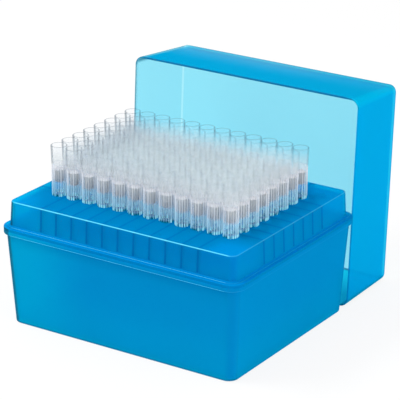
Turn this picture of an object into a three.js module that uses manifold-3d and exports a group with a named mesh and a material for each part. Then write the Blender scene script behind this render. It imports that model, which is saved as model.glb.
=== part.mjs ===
// Box of filtered pipette tips. A deep base carries a tray whose deck holds the tips in rows
// and columns, and the lid has been lifted off and stands on one long side behind the base.
// Millimetres, +Z up, +X along the long side, +Y to the back.
// The origin is the centre of the base's underside.
import * as THREE from 'three';
import { mergeVertices } from 'three/addons/utils/BufferGeometryUtils.js';
import Module from 'manifold-3d';

const wasm = await Module();
wasm.setup();

// ---- tip pattern ----
const pitch = 9; // centre distance of neighbouring tips
const columns = 12; // along X
const rows = 8; // along Y

// ---- tip: sizes from the top of the deck up, and from it down ----
const mouthHeight = 9.4; // smooth part above the ribs
const collarHeight = 16.3; // ribbed part that stands on the deck
const shaftLength = 58.3; // part below the top of the deck
const mouthGap = 0.8; // between the mouths of neighbouring tips
const mouthTaper = 0.3; // the mouth's outside widens by this on the radius
const ribHeight = 0.9;
const ribCount = 9;
const ribFill = 0.4; // share of a rib's own step that its crest takes
const seatStep = 0.3; // from the collar in to the shaft
const tipWall = 0.5;
const kneeRadius = 1.9; // where the fine lower taper starts
const kneeHeight = 20; // above the tip's end
const endRadius = 0.75;
const orificeRadius = 0.4;
const filterDrop = 2.7; // collar's top down to the filter's top, along the bore's funnel
const filterLength = 6.4;
const filterSeatStep = 0.35; // width of the ledge that the filter stands on
const filterGap = 0.1; // filter to bore
const tipSides = 8;
const innerTipSides = 6;

// ---- tray ----
const endMargin = 15.2; // outer tip centres to the deck's short edges
const sideMargin = 21.2; // outer tip centres to the deck's long edges
const deckThickness = 1.6;
const deckRadius = 3.6;
const deckEdge = 0.6; // chamfer round the deck
const skirtHeight = 12.5; // deck down to the flange
const skirtWall = 1.3;
const skirtDraft = 2.66; // degrees, shared with the lid
const flangeThickness = 1.9;
const flangeRadius = 8;
const flangeEdge = 0.35;
const insertDepth = 5; // how far the tray reaches down into the base
const insertClearance = 0.25;
const holeClearance = 0.2;
const ribDepth = 12;
const ribThickness = 1;

// ---- base ----
const baseWall = 1.5;
const baseDraft = 3.2; // degrees
const baseRadius = 5;
const floorThickness = 1.6;
const footEdge = 0.8;
const rimThickness = 1.9;
const rimOverhang = 1.85;
const tipFloorGap = 3.8; // tip ends to the base's floor

// ---- lid ----
const lidWall = 1;
const lidPlate = 1.4;
const lidRadius = 3.7; // corners at the plate
const lidMouthRadius = 5; // corners at the mouth
const lidEdge = 0.8;
const lidClearance = 0.15; // lid to skirt when it is closed
const tipHeadroom = 3.2; // tip mouths to the closed lid
const lidGap = 0.5; // standing lid to the tray's flange
const lidShift = -0.9; // the standing lid's offset along X

// ---- facets of the rounded corners ----
const cornerSteps = 3;

// ---- places worked out from the sizes ----
const slope = (degrees) => Math.tan(THREE.MathUtils.degToRad(degrees));
const tipRise = collarHeight + mouthHeight;
const deckTop = floorThickness + tipFloorGap + shaftLength;
const flangeTop = deckTop - skirtHeight;
const rimTop = flangeTop - flangeThickness;
const deckLength = (columns - 1) * pitch + 2 * endMargin;
const deckWidth = (rows - 1) * pitch + 2 * sideMargin;
const skirtSpread = skirtHeight * slope(skirtDraft);
const mouthRadius = (pitch - mouthGap) / 2;
const ribRadius = mouthRadius - mouthTaper;
const collarRadius = ribRadius - ribHeight;
const shaftRadius = collarRadius - seatStep;
const boreRadius = collarRadius - tipWall;
const lowerBoreRadius = boreRadius - filterSeatStep;
const filterTop = collarHeight - filterDrop; // above the deck, as the next one is
const filterSeat = filterTop - filterLength;
// offsets outward from the deck's outline
const rimInside = skirtSpread + insertClearance;
const rimOutside = rimInside + baseWall;
const flangeOutside = rimOutside + rimOverhang;

// A rounded rectangle that stands the given offset outside the deck's outline.
function outline(offset, radius, z) {
  const points = [];
  const centreX = deckLength / 2 + offset - radius;
  const centreY = deckWidth / 2 + offset - radius;
  for (let corner = 0; corner < 4; corner++) {
    const sideX = corner === 0 || corner === 3 ? 1 : -1;
    const sideY = corner < 2 ? 1 : -1;
    for (let step = 0; step <= cornerSteps; step++) {
      const angle = ((corner + step / cornerSteps) * Math.PI) / 2;
      const x = sideX * centreX + radius * Math.cos(angle);
      const y = sideY * centreY + radius * Math.sin(angle);
      points.push(new THREE.Vector3(x, y, z));
    }
  }
  return points;
}

// A closed body through a row of outlines, with a flat face on the first and the last.
function loft(outlines) {
  const count = outlines[0].length;
  const last = (outlines.length - 1) * count;
  const index = [];
  for (let start = 0; start < last; start += count) {
    for (let k = 0; k < count; k++) {
      const next = (k + 1) % count;
      index.push(start + k, start + next, start + count + next);
      index.push(start + k, start + count + next, start + count + k);
    }
  }
  for (let k = 1; k < count - 1; k++) {
    index.push(0, k + 1, k);
    index.push(last, last + k, last + k + 1);
  }
  const geometry = new THREE.BufferGeometry().setFromPoints(outlines.flat());
  geometry.setIndex(index);
  return geometry;
}

// A profile of [radius, height] pairs turned about the Z axis.
function turned(profile, sides) {
  const points = profile.map(([radius, height]) => new THREE.Vector2(radius, height));
  return new THREE.LatheGeometry(points, sides).rotateX(Math.PI / 2);
}

// The closed solid of a geometry, with its shared vertices merged and its slivers left out.
function solid(geometry) {
  const bare = geometry.clone();
  bare.deleteAttribute('normal');
  bare.deleteAttribute('uv');
  const merged = mergeVertices(bare, 1e-4);
  const corners = [];
  for (let k = 0; k < merged.index.count; k += 3) {
    const [a, b, c] = [0, 1, 2].map((n) => merged.index.getX(k + n));
    if (a !== b && b !== c && c !== a) corners.push(a, b, c);
  }
  const mesh = new wasm.Mesh({
    numProp: 3,
    vertProperties: merged.attributes.position.array,
    triVerts: new Uint32Array(corners),
  });
  return new wasm.Manifold(mesh);
}

// The geometry of a solid.
function surface(body) {
  const mesh = body.getMesh();
  const geometry = new THREE.BufferGeometry();
  geometry.setAttribute('position', new THREE.BufferAttribute(mesh.vertProperties, 3));
  geometry.setIndex(new THREE.BufferAttribute(mesh.triVerts, 1));
  geometry.computeVertexNormals();
  return geometry;
}

function tipX(column) {
  return (column - (columns - 1) / 2) * pitch;
}

function tipY(row) {
  return (row - (rows - 1) / 2) * pitch;
}

// The tips of the front row and of the right-hand column are pieces of their own.
function isOwnPiece(column, row) {
  return row === 0 || column === columns - 1;
}

// Ribs round the collar, as one extruded star with the bore through it.
function ribbedCollar() {
  const star = new THREE.Shape();
  const step = (2 * Math.PI) / ribCount;
  const corners = [];
  for (let rib = 0; rib < ribCount; rib++) {
    corners.push([collarRadius, (rib - 0.5) * step]);
    corners.push([ribRadius, (rib - ribFill / 2) * step]);
    corners.push([ribRadius, (rib + ribFill / 2) * step]);
  }
  star.setFromPoints(
    corners.map(([r, angle]) => new THREE.Vector2(r * Math.cos(angle), r * Math.sin(angle))),
  );
  return new THREE.ExtrudeGeometry(star, { depth: collarHeight, bevelEnabled: false });
}

// One tip, with its own origin on the deck's top: mouth, ribbed collar, shaft and full bore.
function tip() {
  const outside = turned(
    [
      [0, -shaftLength],
      [endRadius, -shaftLength],
      [kneeRadius, kneeHeight - shaftLength],
      [shaftRadius, 0],
      [shaftRadius, filterTop - tipWall],
      [ribRadius, collarHeight],
      [mouthRadius, tipRise],
      [0, tipRise],
    ],
    tipSides,
  );
  const bore = turned(
    [
      [0, -shaftLength - 1],
      [orificeRadius, -shaftLength - 1],
      [orificeRadius, -shaftLength],
      [kneeRadius - tipWall, kneeHeight - shaftLength],
      [lowerBoreRadius, filterSeat],
      [boreRadius, filterSeat],
      [boreRadius, filterTop],
      [ribRadius - tipWall, collarHeight],
      [mouthRadius - tipWall, tipRise],
      [mouthRadius - tipWall, tipRise + 1],
      [0, tipRise + 1],
    ],
    tipSides,
  );
  return surface(solid(outside).add(solid(ribbedCollar())).subtract(solid(bore)));
}

// The filter plug, which stands on the ledge in the tip's bore.
function filter() {
  const radius = boreRadius - filterGap;
  return surface(
    solid(
      turned(
        [
          [0, filterSeat],
          [radius, filterSeat],
          [radius, filterTop],
          [0, filterTop],
        ],
        tipSides,
      ),
    ),
  );
}

// A plainer tip with its filter, for the places inside the rack, where it is one with the tray.
function innerTip() {
  const profile = [
    [0, -shaftLength],
    [endRadius, -shaftLength],
    [shaftRadius, -deckThickness],
    [ribRadius, 0],
    [mouthRadius, tipRise],
    [mouthRadius - tipWall, tipRise],
    [boreRadius, filterTop],
    [0, filterTop],
  ];
  return solid(turned(profile, innerTipSides));
}

// The tray's deck, skirt, flange and the rim that reaches down into the base, open below.
function trayShell() {
  const insertSpread = rimInside - insertClearance;
  const insertTaper = insertDepth * slope(baseDraft);
  const insertBottom = rimTop - insertDepth;
  const underside = deckTop - deckThickness;
  const insideSpread = (deckTop - underside) * slope(skirtDraft) - skirtWall;
  return loft([
    outline(insideSpread, deckRadius - skirtWall, underside),
    outline(skirtSpread - skirtWall - insertTaper, deckRadius - skirtWall, rimTop),
    outline(insertSpread - skirtWall - insertTaper, deckRadius - skirtWall, insertBottom),
    outline(insertSpread - insertTaper, deckRadius, insertBottom),
    outline(insertSpread, deckRadius, rimTop),
    outline(flangeOutside, flangeRadius, rimTop),
    outline(flangeOutside, flangeRadius, flangeTop - flangeEdge),
    outline(flangeOutside - flangeEdge, flangeRadius - flangeEdge, flangeTop),
    outline(skirtSpread, deckRadius, flangeTop),
    outline(deckEdge * slope(skirtDraft), deckRadius, deckTop - deckEdge),
    outline(-deckEdge, deckRadius - deckEdge, deckTop),
  ]);
}

// Crossing ribs under the deck, one between each pair of tip rows and of tip columns.
function deckRibs() {
  const underside = deckTop - deckThickness;
  const rib = (length, width) => new THREE.BoxGeometry(length, width, ribDepth + deckThickness / 2);
  const level = underside + deckThickness / 2 - (ribDepth + deckThickness / 2) / 2;
  const reach = skirtWall / 2;
  const insideLength = deckLength - 2 * skirtWall + 2 * reach;
  const insideWidth = deckWidth - 2 * skirtWall + 2 * reach;
  const ribs = [];
  for (let column = 0; column < columns - 1; column++) {
    const x = (tipX(column) + tipX(column + 1)) / 2;
    ribs.push(rib(ribThickness, insideWidth).translate(x, 0, level));
  }
  for (let row = 0; row < rows - 1; row++) {
    const y = (tipY(row) + tipY(row + 1)) / 2;
    ribs.push(rib(insideLength, ribThickness).translate(0, y, level));
  }
  return ribs.map(solid);
}

// The tray: shell and ribs, open holes for the loose tips, and the inner tips made in one.
function tray() {
  const through = [
    [0, -deckThickness - 1],
    [shaftRadius + holeClearance, -deckThickness - 1],
    [shaftRadius + holeClearance, 1],
    [0, 1],
  ];
  const hole = solid(turned(through, tipSides));
  const fixedTip = innerTip();
  const holes = [];
  const fixedTips = [];
  for (let row = 0; row < rows; row++) {
    for (let column = 0; column < columns; column++) {
      const list = isOwnPiece(column, row) ? holes : fixedTips;
      const piece = isOwnPiece(column, row) ? hole : fixedTip;
      list.push(piece.translate([tipX(column), tipY(row), deckTop]));
    }
  }
  const shell = wasm.Manifold.union([solid(trayShell()), ...deckRibs()]);
  const pierced = shell.subtract(wasm.Manifold.union(holes));
  return surface(wasm.Manifold.union([pierced, ...fixedTips]));
}

// The base: drafted walls, a flat floor and a rim that the tray's flange rests on.
function base() {
  const at = (z) => rimOutside - (rimTop - z) * slope(baseDraft);
  const rimUnderside = rimTop - rimThickness;
  return loft([
    outline(at(0) - footEdge, baseRadius - footEdge, 0),
    outline(at(footEdge), baseRadius, footEdge),
    outline(at(rimUnderside), baseRadius, rimUnderside),
    outline(flangeOutside, flangeRadius, rimUnderside),
    outline(flangeOutside, flangeRadius, rimTop),
    outline(rimInside, baseRadius - baseWall, rimTop),
    outline(at(floorThickness) - baseWall, baseRadius - baseWall, floorThickness),
  ]);
}

// The lid in its own frame: mouth down at height 0, plate on top.
const lidMouth = skirtSpread + lidClearance + lidWall;
const lidDepth = skirtHeight + tipRise + tipHeadroom + lidPlate;
function lid() {
  const at = (z) => lidMouth - z * slope(skirtDraft);
  const inside = lidDepth - lidPlate;
  return loft([
    outline(at(inside) - lidWall, lidRadius - lidWall, inside),
    outline(lidMouth - lidWall, lidMouthRadius - lidWall, 0),
    outline(lidMouth, lidMouthRadius, 0),
    outline(at(lidDepth - lidEdge), lidRadius, lidDepth - lidEdge),
    outline(at(lidDepth) - lidEdge, lidRadius - lidEdge, lidDepth),
  ]);
}

const finish = (colour, roughness, opacity) =>
  new THREE.MeshStandardMaterial({
    color: colour,
    roughness,
    metalness: 0,
    opacity,
    transparent: opacity < 1,
    flatShading: true,
  });
const bluePlastic = finish(0x0a8fcf, 0.4, 0.85);
const lidPlastic = finish(0x2fb4e4, 0.3, 0.6);
const clearPlastic = finish(0xe4ecf0, 0.2, 0.5);
const filterWhite = finish(0xf2f3f1, 0.9, 1);

const rack = new THREE.Group();

function place(name, geometry, material, parent = rack) {
  const mesh = new THREE.Mesh(geometry, material);
  mesh.name = name;
  parent.add(mesh);
  return mesh;
}

place('base', base(), bluePlastic);
place('tray', tray(), bluePlastic);

// The lid stands on its long side wall, leaning back by that wall's draft.
const standing = new THREE.Group();
const lean = THREE.MathUtils.degToRad(skirtDraft);
const halfMouth = deckWidth / 2 + lidMouth;
const flangeBack = deckWidth / 2 + flangeOutside;
standing.rotation.x = -Math.PI / 2 - lean;
standing.position.set(
  lidShift,
  flangeBack + lidGap + (halfMouth * Math.cos(lean) - rimTop) * Math.tan(lean),
  halfMouth * Math.cos(lean),
);
rack.add(standing);
place('lid', lid(), lidPlastic, standing);

// Loose tips and filters, named by row letter from the back and by column number.
const tipGeometry = tip();
const filterGeometry = filter();
for (let row = 0; row < rows; row++) {
  for (let column = 0; column < columns; column++) {
    if (!isOwnPiece(column, row)) continue;
    const letter = String.fromCharCode('a'.charCodeAt(0) + rows - 1 - row);
    const seat = `${letter}${String(column + 1).padStart(2, '0')}`;
    for (const piece of [
      place(`tip_${seat}`, tipGeometry, clearPlastic),
      place(`filter_${seat}`, filterGeometry, filterWhite),
    ]) {
      piece.position.set(tipX(column), tipY(row), deckTop);
    }
  }
}

export default rack;
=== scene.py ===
"""Box of filtered pipette tips: translucent blue base, tray with clear ribbed tips, and the
lid standing on edge behind them. Sizes are in millimetres here and in metres in the meshes."""
import math

import bmesh
import bpy
from mathutils import Matrix, Vector


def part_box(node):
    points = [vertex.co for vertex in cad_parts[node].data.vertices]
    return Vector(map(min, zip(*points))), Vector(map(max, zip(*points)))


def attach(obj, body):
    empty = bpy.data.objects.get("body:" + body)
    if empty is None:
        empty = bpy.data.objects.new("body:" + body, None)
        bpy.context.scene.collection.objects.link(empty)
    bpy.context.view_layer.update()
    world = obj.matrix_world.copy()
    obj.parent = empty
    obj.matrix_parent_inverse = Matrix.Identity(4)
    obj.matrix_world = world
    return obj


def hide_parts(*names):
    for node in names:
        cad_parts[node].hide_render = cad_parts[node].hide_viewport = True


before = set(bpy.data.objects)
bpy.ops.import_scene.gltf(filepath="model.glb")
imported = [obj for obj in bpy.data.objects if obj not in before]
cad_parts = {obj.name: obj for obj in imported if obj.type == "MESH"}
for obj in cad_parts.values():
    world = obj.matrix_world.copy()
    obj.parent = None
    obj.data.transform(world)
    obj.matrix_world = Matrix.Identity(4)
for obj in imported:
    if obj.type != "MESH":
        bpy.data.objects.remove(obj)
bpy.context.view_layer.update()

MM = 0.001


def corners(node):
    """A frame node's lowest and highest corner, in millimetres."""
    low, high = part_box(node)
    return low / MM, high / MM


# ---- places taken from the frame ----
base_low, base_high = corners("base")
tip_low, tip_high = corners("tip_h01")
filter_low, filter_high = corners("filter_h01")
lid_low, lid_high = corners("lid")

# ---- tip pattern ----
PITCH = 9.0
COLUMNS = 12
ROWS = 8

# ---- tray ----
FILTER_SEAT = 7.2  # above the deck
DECK_TOP = filter_low.z - FILTER_SEAT
DECK_LENGTH = 129.4
DECK_WIDTH = 105.4
DECK_THICK = 1.6
DECK_RADIUS = 3.6
DECK_FILLET = 0.7
UNDER_DECK_FILLET = 0.8
SKIRT_HEIGHT = 12.5
SKIRT_WALL = 1.3
SKIRT_DRAFT = math.tan(math.radians(2.66))
SKIRT_FOOT_FILLET = 0.5
FLANGE_TOP = DECK_TOP - SKIRT_HEIGHT
RIM_TOP = base_high.z
FLANGE_OUT = base_high.x - DECK_LENGTH / 2
FLANGE_RADIUS = 8.0
FLANGE_FILLET = 0.35
FLANGE_EDGE = 0.12  # fillet where the flange lies on the rim
BEAD_HEIGHT = 0.3  # low bead on the flange, beside the skirt
BEAD_FILLET = 0.25
BEAD_FOOT_FILLET = 0.1
INSERT_DEPTH = 5.0
INSERT_GAP = 0.25
INSIDE_FILLET = 0.3
RIB_DEPTH = 12.0
RIB_THICK = 1.0
RIB_GAP = 0.03  # between the ribs and the shell round them
HOLE_RADIUS = 2.8
DRILL_SIDES = 32
DRILL_DEPTH = 6

# ---- base ----
BASE_WALL = 1.5
BASE_DRAFT = math.tan(math.radians(3.2))
BASE_RADIUS = 5.0
FOOT_FILLET = 0.8
FOOT_INSET = 4  # from the foot's outline in to the flat under it
FOOT_INSET_RADIUS = 3
FLOOR_THICK = 1.6
FLOOR_FILLET = 1.2
FLOOR_INSET = 6
FLOOR_INSET_RADIUS = 1.5
RIM_THICK = 1.9
RIM_FILLET = 0.4
UNDER_RIM_FILLET = 0.5

# ---- lid ----
LID_WALL = 1.0
LID_PLATE = 1.4
LID_RADIUS = 3.7
LID_FILLET = 1.3
LID_INNER_FILLET = 0.9
LID_FLAT_RADIUS = 2.5
LID_MOUTH_RADIUS = 5.0
LID_MOUTH_FILLET = 0.25
LID_GAP = 0.15
TIP_HEADROOM = 3.2  # tip mouths to the closed lid
LID_MOUTH_OUT = SKIRT_HEIGHT * SKIRT_DRAFT + LID_GAP + LID_WALL
LID_DEPTH = SKIRT_HEIGHT + (tip_high.z - DECK_TOP) + TIP_HEADROOM + LID_PLATE
ON_PLATE = 0.02  # how near to the plate's faces a point counts as on them
FLAT_REACH = 12  # how far in from an outline a flat face is drawn as a ring

# ---- tip ----
TIP_TOP = tip_high.z
TIP_END = tip_low.z
MOUTH_RADIUS = 4.1
MOUTH_EDGE = 0.12
RIB_RADIUS = 3.8
COLLAR_RADIUS = 2.9
COLLAR_HEIGHT = 16.3
RIBS_TOP = DECK_TOP + COLLAR_HEIGHT
RIB_FOOT = (0.35, 0.15)  # height and depth of the bevel at a rib's foot
TIP_RIBS = 18
RIB_FLAT = 0.3  # of the pitch round the collar
SEAT_GAP = 0.02  # collar to deck
SHAFT_RADIUS = 2.6
NECK_DEPTH = 1.8  # top of the shaft's taper, below the deck
NECK_STEP = 0.05
KNEE_HEIGHT = 20  # where the fine lower taper starts, above the tip's end
KNEE_RADIUS = 1.9
KNEE_BORE = 1.4
END_RADIUS = 0.75
ORIFICE_RADIUS = 0.4
TIP_WALL = 0.5

# ---- filter ----
FILTER_RADIUS = 2.3
FILTER_LEDGE = 0.35
FILTER_GAP = 0.03
FILTER_BEVEL = 0.25
FILTER_SIDES = 24

# ---- steps in the rounded outlines and in their fillets ----
CORNER_STEPS = 10
FILLET_STEPS = 5

# ---- edges sharper than this, in degrees, stay crisp ----
SHELL_CREASE = 28
TIP_CREASE = 24
FILTER_CREASE = 50


# ---------------------------------------------------------------- node trees
class Value:
    """A socket whose operators add the Math nodes for an expression."""

    def __init__(self, tree, socket):
        self.tree = tree
        self.socket = socket

    def _math(self, operation, first, second):
        node = self.tree.node("ShaderNodeMath", {"operation": operation}, {0: first, 1: second})
        return Value(self.tree, node.outputs[0])

    def __add__(self, other):
        return self._math("ADD", self, other)

    def __radd__(self, other):
        return self._math("ADD", other, self)

    def __sub__(self, other):
        return self._math("SUBTRACT", self, other)

    def __rsub__(self, other):
        return self._math("SUBTRACT", other, self)

    def __mul__(self, other):
        return self._math("MULTIPLY", self, other)

    def __rmul__(self, other):
        return self._math("MULTIPLY", other, self)

    def __pow__(self, other):
        return self._math("POWER", self, other)

    def __neg__(self):
        return self * -1


class Tree:
    """A node tree with one way to add a node: its type, its settings, its socket values."""

    def __init__(self, tree):
        self.tree = tree
        tree.nodes.clear()

    def node(self, kind, settings=None, sockets=None):
        made = self.tree.nodes.new(kind)
        for key, value in (settings or {}).items():
            setattr(made, key, value)
        for key, value in (sockets or {}).items():
            target = made.inputs[key]
            if isinstance(value, Value):
                value = value.socket
            if isinstance(value, bpy.types.NodeSocket):
                self.tree.links.new(value, target)
            elif target.type == "RGBA":
                target.default_value = (*value, 1.0)
            else:
                target.default_value = value
        return made

    def value(self, node, output=0):
        return Value(self, node.outputs[output])


def new_material(name):
    material = bpy.data.materials.new(name)
    material.use_nodes = True
    return material, Tree(material.node_tree)


def object_place(tree):
    """The shaded point on the piece's own coordinates."""
    return tree.node("ShaderNodeTexCoord").outputs["Object"]


def noise(tree, place, scale, detail, roughness):
    return tree.node(
        "ShaderNodeTexNoise",
        {"noise_dimensions": "3D"},
        {"Vector": place, "Scale": scale, "Detail": detail, "Roughness": roughness},
    )


def mould_noise(tree, scale, detail=3.0):
    """Unevenness of moulded plastic, slow or fine by its scale."""
    return noise(tree, object_place(tree), scale, detail, 0.55)


def cloudiness(tree, scale, detail=3.0):
    """The same unevenness as a number that swings evenly about 0."""
    return tree.value(mould_noise(tree, scale, detail), "Fac") - 0.5


def place_of(tree):
    """The X, Y and Z of the shaded point, in millimetres."""
    split = tree.node("ShaderNodeSeparateXYZ", None, {"Vector": object_place(tree)})
    return [tree.value(split, axis) * (1 / MM) for axis in "XYZ"]


def eased(value, low, high):
    """0 below low and 1 above high, with an eased rise between them."""
    rise = value.tree.node(
        "ShaderNodeMapRange",
        {"interpolation_type": "SMOOTHSTEP"},
        {"Value": value, "From Min": low, "From Max": high},
    )
    return Value(value.tree, rise.outputs["Result"])


def faded(value, low, high):
    """1 below low and 0 above high, with an eased fall between them."""
    return 1 - eased(value, low, high)


def along_face(tree):
    """0 where a surface is seen square on, 1 where it is seen along its face."""
    return tree.value(tree.node("ShaderNodeLayerWeight", None, {"Blend": 0.5}), "Facing")


def marked(tree, name):
    """A number kept on the mesh's points."""
    return tree.value(tree.node("ShaderNodeAttribute", {"attribute_name": name}), "Fac")


def size_of(value):
    """A number without its sign."""
    plain = value.tree.node("ShaderNodeMath", {"operation": "ABSOLUTE"}, {0: value})
    return Value(value.tree, plain.outputs[0])


def upright_of(tree):
    """1 on an upright wall, 0 on a level face."""
    shape = tree.node("ShaderNodeNewGeometry")
    split = tree.node("ShaderNodeSeparateXYZ", None, {"Vector": shape.outputs["Normal"]})
    return faded(size_of(tree.value(split, "Z")), 0.3, 0.7)


def clear(tree, tint):
    return tree.node("ShaderNodeBsdfTransparent", None, {"Color": tint}).outputs[0]


def mixed(tree, share, first, second):
    return tree.node("ShaderNodeMixShader", None, {0: share, 1: first, 2: second}).outputs[0]


def principled(tree, sockets):
    return tree.node("ShaderNodeBsdfPrincipled", None, sockets).outputs[0]


def finished(material, tree, surface):
    tree.node("ShaderNodeOutputMaterial", None, {"Surface": surface})
    return material


def blended(tree, share, first, second):
    """A colour between two others."""
    mix = tree.node(
        "ShaderNodeMix", {"data_type": "RGBA"}, {"Factor": share, "A": first, "B": second}
    )
    return mix.outputs["Result"]


def layered(tree, colour, layers):
    """A colour with others laid over it in turn, each by its own share."""
    for share, over in layers:
        colour = blended(tree, share, colour, over)
    return colour


def scaled(colour, *factors):
    return tuple(part * factor for part, factor in zip(colour, factors))


def relief(tree, grain, strength):
    """Shallow relief that follows a noise."""
    bump = tree.node(
        "ShaderNodeBump",
        None,
        {"Strength": strength, "Distance": RELIEF_DEPTH, "Height": grain.outputs["Fac"]},
    )
    return bump.outputs["Normal"]


def skin_grain(tree, strength):
    """The fine grain of a moulded skin."""
    return relief(tree, mould_noise(tree, 900.0, 2.0), strength)


def lit_through(tree, shader, tint):
    """Light passes the plastic with this tint only, as it does through clear mouldings."""
    path = tree.node("ShaderNodeLightPath")
    passing = tree.value(path, "Is Shadow Ray") + tree.value(path, "Is Diffuse Ray") * 0.9
    return mixed(tree, passing, shader, clear(tree, tint))


def streaks(tree):
    """Fine streaks that run up the collars and differ from tip to tip."""
    drawn = tree.node(
        "ShaderNodeMapping", None, {"Vector": object_place(tree), "Scale": (1.0, 1.0, 0.04)}
    )
    grain = noise(tree, drawn.outputs[0], 650.0, 1.0, 0.5)
    return eased(tree.value(grain, "Fac"), 0.36, 0.64)


def rib_lines(tree):
    """1 where one of the tray's ribs stands behind its wall or deck, 0 elsewhere."""
    x, y, z = place_of(tree)

    def near_rib(across, last):
        to_rib = tree.node("ShaderNodeMath", {"operation": "PINGPONG"}, {0: across, 1: PITCH / 2})
        on_rib = faded(tree.value(to_rib), RIB_THICK * 0.45, RIB_THICK * 0.95)
        return on_rib * faded(size_of(across), last + 1, last + 1.1)

    columns = near_rib(x, PITCH * (COLUMNS / 2 - 1))
    rows = near_rib(y, PITCH * (ROWS / 2 - 1))
    either = tree.node("ShaderNodeMath", {"operation": "MAXIMUM"}, {0: columns, 1: rows})
    return tree.value(either) * eased(z, FLANGE_TOP + 0.2, FLANGE_TOP + 0.8)


# ---------------------------------------------------------------- materials
PLASTIC_IOR = 1.49
RELIEF_DEPTH = 0.0002

# ---- blue plastic: tints and colours in linear red, green and blue ----
BLUE_TINT = (0.06, 0.88, 0.95)
BLUE_EDGE_TINT = (0.02, 0.24, 0.37)  # how deep it looks round its bends
BLUE_ALONG = 0.25  # what it scatters more where it is seen along its face
BLUE_LINE = (0.01, 0.18, 0.28)
BLUE_PAINTED_HIGHLIGHT = (0.16, 0.88, 1.0)
GLOSS_TINT = (0.35, 0.85, 1.0)
FLOOR_SHADE_BLUE = (0.0, 0.15, 0.26)

# ---- blue plastic: where it changes, in millimetres ----
BLUE_LONG_SIDE = (DECK_LENGTH / 2 - 4.5, DECK_LENGTH / 2 - 2)
BLUE_LEFT_END = (DECK_LENGTH / -2 + 2, DECK_LENGTH / -2 + 8)
BLUE_RIGHT_WALL = (DECK_LENGTH / 2 - 1, DECK_LENGTH / 2)
BLUE_PAINTED_LIGHT_END = (base_low.x + 12, base_low.x + 55)
BLUE_FLOOR_SHADE = (0.4, 2.0)
BLUE_DECK = (FLANGE_TOP + 1, FLANGE_TOP + 3)
NEAR_RIGHT_X = (43, 55)
NEAR_RIGHT_Y = (33, 43)
NEAR_LEFT_X = (50, 58)
NEAR_LEFT_Y = (38, 46)

# ---- blue plastic: how far along its face a bend is seen when it turns into a line ----
CORNER_TURN = (0.3, 0.5)
LEFT_CORNER_TURN = (0.2, 0.42)
FILLET_TURN = (0.75, 0.9)
FLOOR_SHADE_TURN = (0.5, 0.6)


def blue_plastic(name, body, solid, roughness, haze, painted_light_side, painted_light_foot, ribs=False):
    """Moulded blue plastic that lets tinted light through: `solid` is the share that it
    scatters where it is seen square on. Painted light makes its left end and its foot lighter,
    painted shade makes its level faces, its upright corners and its bottom edge deeper, and a
    painted highlight runs along the polished fillets of its long sides. `painted_light_side`
    paints light on its right wall, `painted_light_foot` is where its painted lighter foot ends,
    and `ribs` shows the tray's ribs in it."""
    material, tree = new_material(name)
    x, y, z = place_of(tree)
    cloud = cloudiness(tree, haze)
    long_side = faded(size_of(x), *BLUE_LONG_SIDE)
    # painted highlight on the polished fillets, full along the long sides and faint at the short
    # ends; the coat adds a faint real gloss
    polish = marked(tree, "polish") * (long_side * 0.75 + 0.25)
    fillet = marked(tree, "fillet")
    face = along_face(tree)
    upright = upright_of(tree)
    corner = marked(tree, "corner") * upright
    left_end = faded(x, *BLUE_LEFT_END)
    plain = 1 - eased(face, *CORNER_TURN) * corner**2
    plain = plain * (1 - eased(face, *LEFT_CORNER_TURN) * eased(corner, 0.0, 0.5) * left_end)
    outlined = 1 - plain * (1 - eased(face, *FILLET_TURN) * fillet)
    outlined = outlined * (1 - polish)
    # painted shade: dark along the bottom edge where it stands on the floor
    floor_shade = faded(z, *BLUE_FLOOR_SHADE) * faded(face, *FLOOR_SHADE_TURN)
    see_through = mixed(tree, outlined, clear(tree, BLUE_TINT), clear(tree, BLUE_EDGE_TINT))
    share = solid + face**2 * BLUE_ALONG + cloud * 0.1 + corner * 0.2 + (1 - upright) * 0.15
    share = share * (1 - outlined * 0.2) + polish * 0.45 + floor_shade * 0.4
    # painted light: the left end, the foot and the right wall are painted lighter
    thin = faded(x, *BLUE_PAINTED_LIGHT_END)
    low = faded(z, *painted_light_foot)
    painted_light_right_wall = eased(x, *BLUE_RIGHT_WALL) * painted_light_side
    painted_light = 1 - (1 - thin) * (1 - low * 0.5) * (1 - painted_light_right_wall)
    # painted shade on the level faces, with painted light lifting them near the two front corners
    painted_light_corner = eased(x, *NEAR_RIGHT_X) * eased(-y, *NEAR_RIGHT_Y)
    painted_light_corner = painted_light_corner + eased(-x, *NEAR_LEFT_X) * eased(-y, *NEAR_LEFT_Y) * 0.6
    deck = (1 - upright) * (1 - painted_light_corner * 0.8) * eased(z, *BLUE_DECK)
    layers = [
        (painted_light * upright, scaled(body, 1.0, 1.3, 1.06)),
        (deck, scaled(body, 1.0, 0.84, 0.8)),
        # painted shade: the upright corners are painted deeper
        (corner * 0.8, scaled(body, 1.0, 0.72, 0.8)),
        (outlined * 0.9, BLUE_LINE),
        (floor_shade * 0.9, FLOOR_SHADE_BLUE),
    ]
    if ribs:
        line = rib_lines(tree) * (upright * 0.15 + 0.85)
        share = share + line * 0.4
        layers.append((line * 0.9, scaled(body, 1.0, 0.33, 0.4)))
    # painted highlight: pale cyan on the polished fillets
    layers.append((polish * 0.9, BLUE_PAINTED_HIGHLIGHT))
    shaded = principled(
        tree,
        {
            "Base Color": layered(tree, body, layers),
            "Roughness": cloud * 0.1 + roughness,
            "IOR": PLASTIC_IOR,
            "Specular IOR Level": 0.0,
            "Coat Weight": polish * 0.04 + 0.01,
            "Coat Roughness": 0.12,
            "Coat IOR": 1.9,
            "Coat Tint": GLOSS_TINT,
            "Normal": skin_grain(tree, 0.05),
        },
    )
    return finished(material, tree, mixed(tree, share, see_through, shaded))


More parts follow.
